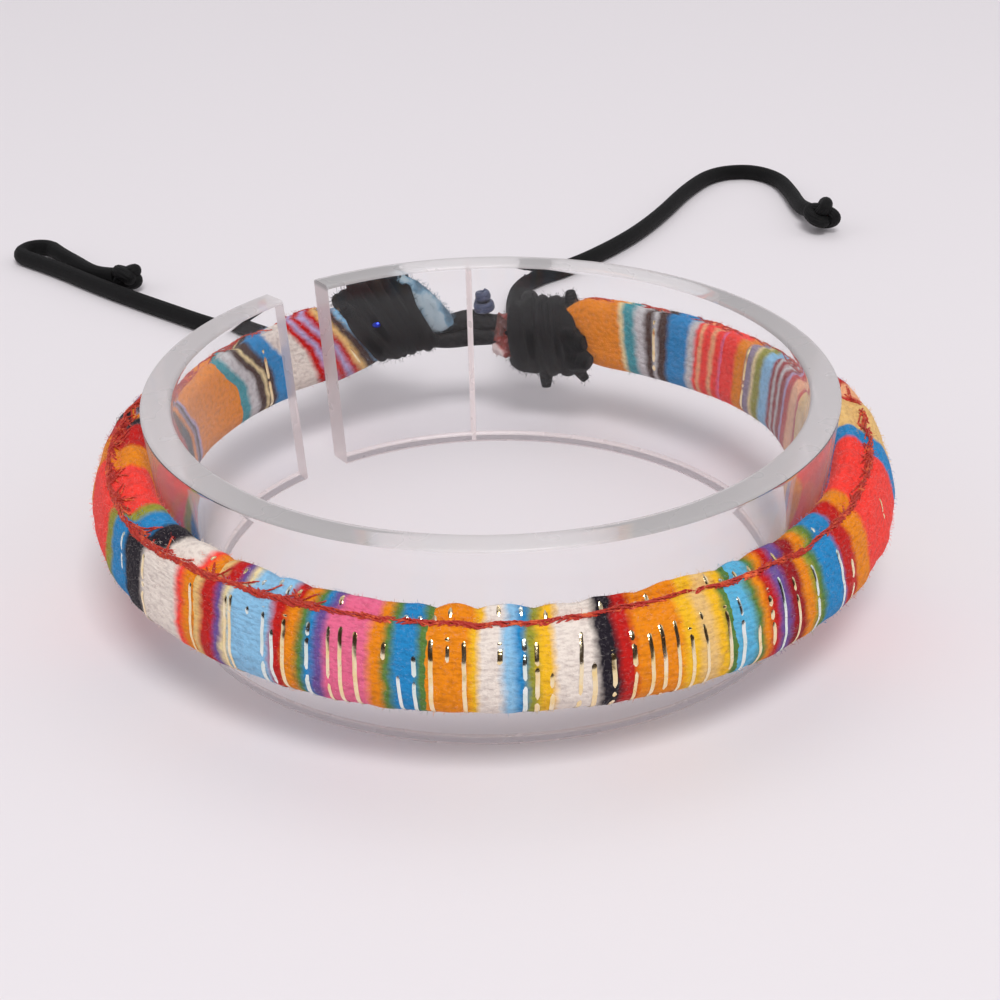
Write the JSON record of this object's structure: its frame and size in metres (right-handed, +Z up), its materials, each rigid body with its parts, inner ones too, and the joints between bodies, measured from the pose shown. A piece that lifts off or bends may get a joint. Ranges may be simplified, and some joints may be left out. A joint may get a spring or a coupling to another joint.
{
  "type": "tie-on striped cloth bracelet on a clear display ring",
  "caption": "Padded tube of striped woven cloth, closed with wound black cord and two knotted tails, on a clear split display ring.",
  "frame": {"origin": "centre of the display ring on the surface that it stands on", "axes": "+Z up along the ring's axis, +X to the wearer's side right of the closure seen from the front, +Y from the closed front to the tied back"},
  "size_m": [0.1083, 0.1443, 0.0186],
  "materials": {
    "clear_plastic": "polished clear acrylic",
    "striped_cloth": "woven striped cloth with metallic threads",
    "black_cord": "waxed black braided cord",
    "blue_thread": "knotted blue-grey thread"
  },
  "bodies": {
    "root": {"display_ring": "clear_plastic", "band": "striped_cloth", "left_binding": "black_cord", "right_binding": "black_cord", "link_strand_upper": "black_cord", "link_strand_lower": "black_cord", "link_knot": "blue_thread", "left_tail": "black_cord", "left_knot": "black_cord", "right_tail": "black_cord", "right_knot": "black_cord"}
  },
  "joints": []
}
